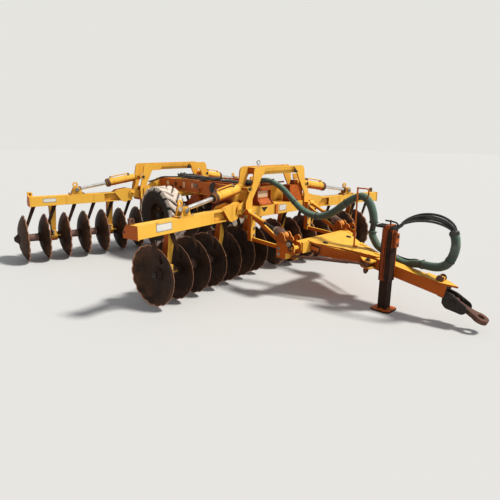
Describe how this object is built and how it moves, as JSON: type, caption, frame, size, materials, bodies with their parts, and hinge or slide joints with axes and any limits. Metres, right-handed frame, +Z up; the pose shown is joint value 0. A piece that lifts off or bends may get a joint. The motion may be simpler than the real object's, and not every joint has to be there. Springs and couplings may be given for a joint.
{
  "type": "tandem disc harrow",
  "caption": "Trailed tandem disc harrow with scalloped discs, ram-folded wings, transport wheels on a swinging axle, drawbar, parking jack and tow eye.",
  "frame": {"origin": "on the ground below the middle of the machine, discs and jack foot at Z 0", "axes": "+X forwards to the tow eye, +Y to the machine's left, +Z up"},
  "size_m": [5.3399, 4.4338, 1.381],
  "materials": {
    "yellow_paint": "sun-faded yellow-orange gloss with scuffed edges",
    "weathered_paint": "orange paint dulled by rust and dust",
    "wheel_paint": "dusty orange paint",
    "worn_steel": "brown surface rust, brighter at the worn edges",
    "black_steel": "matt black, chipped",
    "rusty_steel": "dark rust",
    "chrome": "polished hard chrome",
    "zinc": "dull plated steel",
    "tyre": "dusty rubber",
    "sleeve": "green woven hose sleeve",
    "hose": "black hose",
    "white_plastic": "gloss white"
  },
  "bodies": {
    "frame": {"centre_frame": "weathered_paint", "front_frame": "yellow_paint", "rear_frame": "yellow_paint", "centre_scrapers": "black_steel", "shelf_box": "weathered_paint", "plain_box": "weathered_paint", "reflector": "white_plastic", "hitch_links": "yellow_paint", "drawbar": "yellow_paint", "stay_rod": "rusty_steel", "jack_tube": "yellow_paint", "hose_pole": "weathered_paint", "clevis": "black_steel", "rear_sleeve": "sleeve", "front_sleeve": "sleeve", "tail_hoses": "hose", "link_hoses": "hose", "couplings": "zinc", "frame_hoses": "hose"},
    "front_right_wing": {"wing_front_right": "yellow_paint", "scrapers_front_right": "black_steel"},
    "front_right_gang": {"gang_front_right": "worn_steel"},
    "front_right_centre_gang": {"centre_gang_front_right": "worn_steel"},
    "front_right_barrel": {"ram_barrel_front_right": "yellow_paint"},
    "front_right_rod": {"ram_rod_front_right": "chrome"},
    "front_left_wing": {"wing_front_left": "yellow_paint", "scrapers_front_left": "black_steel"},
    "front_left_gang": {"gang_front_left": "worn_steel"},
    "front_left_centre_gang": {"centre_gang_front_left": "worn_steel"},
    "front_left_barrel": {"ram_barrel_front_left": "yellow_paint"},
    "front_left_rod": {"ram_rod_front_left": "chrome"},
    "rear_right_wing": {"wing_rear_right": "yellow_paint", "scrapers_rear_right": "black_steel"},
    "rear_right_gang": {"gang_rear_right": "worn_steel"},
    "rear_right_centre_gang": {"centre_gang_rear_right": "worn_steel"},
    "rear_right_barrel": {"ram_barrel_rear_right": "yellow_paint"},
    "rear_right_rod": {"ram_rod_rear_right": "chrome"},
    "rear_left_wing": {"wing_rear_left": "yellow_paint", "scrapers_rear_left": "black_steel"},
    "rear_left_gang": {"gang_rear_left": "worn_steel"},
    "rear_left_centre_gang": {"centre_gang_rear_left": "worn_steel"},
    "rear_left_barrel": {"ram_barrel_rear_left": "yellow_paint"},
    "rear_left_rod": {"ram_rod_rear_left": "chrome"},
    "axle": {"wheel_axle": "weathered_paint"},
    "right_wheel": {"wheel_right": "wheel_paint", "tyre_right": "tyre"},
    "left_wheel": {"wheel_left": "wheel_paint", "tyre_left": "tyre"},
    "jack_leg": {"jack_leg": "black_steel"},
    "tow_eye": {"tow_eye": "rusty_steel"}
  },
  "joints": [
    {"name": "front_right_wing_fold", "type": "hinge", "parent": "frame", "child": "front_right_wing", "pos_m": [0.11816, -0.628, 0.85], "axis": [-0.9877, -0.1564, 0], "range_deg": [0, 80]},
    {"name": "front_right_ram_swing", "type": "hinge", "parent": "frame", "child": "front_right_barrel", "pos_m": [0.09884, -0.506, 1.07], "axis": [-0.9877, -0.1564, 0], "range_deg": [0, 82]},
    {"name": "front_right_ram_stroke", "type": "slide", "parent": "front_right_barrel", "child": "front_right_rod", "axis": [-0.1546, 0.9761, 0.1527], "range_m": [0, 0.328]},
    {"name": "front_right_gang_spin", "type": "hinge", "parent": "front_right_wing", "child": "front_right_gang", "pos_m": [0.172, -1.735, 0.31], "axis": [-0.1564, 0.9877, 0], "continuous": true},
    {"name": "front_right_centre_gang_spin", "type": "hinge", "parent": "frame", "child": "front_right_centre_gang", "pos_m": [0.172, -1.735, 0.31], "axis": [-0.1564, 0.9877, 0], "continuous": true},
    {"name": "front_left_wing_fold", "type": "hinge", "parent": "frame", "child": "front_left_wing", "pos_m": [0.11816, 0.628, 0.85], "axis": [0.9877, -0.1564, 0], "range_deg": [0, 80]},
    {"name": "front_left_ram_swing", "type": "hinge", "parent": "frame", "child": "front_left_barrel", "pos_m": [0.09884, 0.506, 1.07], "axis": [0.9877, -0.1564, 0], "range_deg": [0, 82]},
    {"name": "front_left_ram_stroke", "type": "slide", "parent": "front_left_barrel", "child": "front_left_rod", "axis": [-0.1546, -0.9761, 0.1527], "range_m": [0, 0.328]},
    {"name": "front_left_gang_spin", "type": "hinge", "parent": "front_left_wing", "child": "front_left_gang", "pos_m": [0.172, 1.735, 0.31], "axis": [-0.1564, -0.9877, 0], "continuous": true},
    {"name": "front_left_centre_gang_spin", "type": "hinge", "parent": "frame", "child": "front_left_centre_gang", "pos_m": [0.172, 1.735, 0.31], "axis": [-0.1564, -0.9877, 0], "continuous": true},
    {"name": "rear_right_wing_fold", "type": "hinge", "parent": "frame", "child": "rear_right_wing", "pos_m": [-2.02799, -0.704, 0.85], "axis": [-0.9877, 0.1564, 0], "range_deg": [0, 80]},
    {"name": "rear_right_ram_swing", "type": "hinge", "parent": "frame", "child": "rear_right_barrel", "pos_m": [-2.00867, -0.582, 1.07], "axis": [-0.9877, 0.1564, 0], "range_deg": [0, 82]},
    {"name": "rear_right_ram_stroke", "type": "slide", "parent": "rear_right_barrel", "child": "rear_right_rod", "axis": [0.1545, 0.9751, 0.1589], "range_m": [0, 0.328]},
    {"name": "rear_right_gang_spin", "type": "hinge", "parent": "rear_right_wing", "child": "rear_right_gang", "pos_m": [-2.366, -2.071, 0.31], "axis": [0.1564, 0.9877, 0], "continuous": true},
    {"name": "rear_right_centre_gang_spin", "type": "hinge", "parent": "frame", "child": "rear_right_centre_gang", "pos_m": [-2.366, -2.071, 0.31], "axis": [0.1564, 0.9877, 0], "continuous": true},
    {"name": "rear_left_wing_fold", "type": "hinge", "parent": "frame", "child": "rear_left_wing", "pos_m": [-2.02799, 0.704, 0.85], "axis": [0.9877, 0.1564, 0], "range_deg": [0, 80]},
    {"name": "rear_left_ram_swing", "type": "hinge", "parent": "frame", "child": "rear_left_barrel", "pos_m": [-2.00867, 0.582, 1.07], "axis": [0.9877, 0.1564, 0], "range_deg": [0, 82]},
    {"name": "rear_left_ram_stroke", "type": "slide", "parent": "rear_left_barrel", "child": "rear_left_rod", "axis": [0.1545, -0.9751, 0.1589], "range_m": [0, 0.328]},
    {"name": "rear_left_gang_spin", "type": "hinge", "parent": "rear_left_wing", "child": "rear_left_gang", "pos_m": [-2.366, 2.071, 0.31], "axis": [0.1564, -0.9877, 0], "continuous": true},
    {"name": "rear_left_centre_gang_spin", "type": "hinge", "parent": "frame", "child": "rear_left_centre_gang", "pos_m": [-2.366, 2.071, 0.31], "axis": [0.1564, -0.9877, 0], "continuous": true},
    {"name": "wheel_lift", "type": "hinge", "parent": "frame", "child": "axle", "pos_m": [-0.928, 0, 0.822], "axis": [0, -1, 0], "range_deg": [0, 45]},
    {"name": "right_wheel_spin", "type": "hinge", "parent": "axle", "child": "right_wheel", "pos_m": [-1.408, -0.56, 0.575], "axis": [0, 1, 0], "continuous": true},
    {"name": "left_wheel_spin", "type": "hinge", "parent": "axle", "child": "left_wheel", "pos_m": [-1.408, 0.56, 0.575], "axis": [0, 1, 0], "continuous": true},
    {"name": "jack_slide", "type": "slide", "parent": "frame", "child": "jack_leg", "axis": [0, 0, 1], "range_m": [0, 0.255]},
    {"name": "eye_hinge", "type": "hinge", "parent": "frame", "child": "tow_eye", "pos_m": [2.37485, 0, 0.21594], "axis": [0, -1, 0], "range_deg": [0, 35]}
  ],
  "couplings": [
    {"joint": "front_right_ram_swing", "follows": "front_right_wing_fold", "ratio": 1.013},
    {"joint": "front_right_ram_stroke", "follows": "front_right_wing_fold", "m_per_rad": 0.2321},
    {"joint": "front_left_ram_swing", "follows": "front_left_wing_fold", "ratio": 1.013},
    {"joint": "front_left_ram_stroke", "follows": "front_left_wing_fold", "m_per_rad": 0.2321},
    {"joint": "rear_right_ram_swing", "follows": "rear_right_wing_fold", "ratio": 1.0113},
    {"joint": "rear_right_ram_stroke", "follows": "rear_right_wing_fold", "m_per_rad": 0.23217},
    {"joint": "rear_left_ram_swing", "follows": "rear_left_wing_fold", "ratio": 1.0113},
    {"joint": "rear_left_ram_stroke", "follows": "rear_left_wing_fold", "m_per_rad": 0.23217}
  ]
}
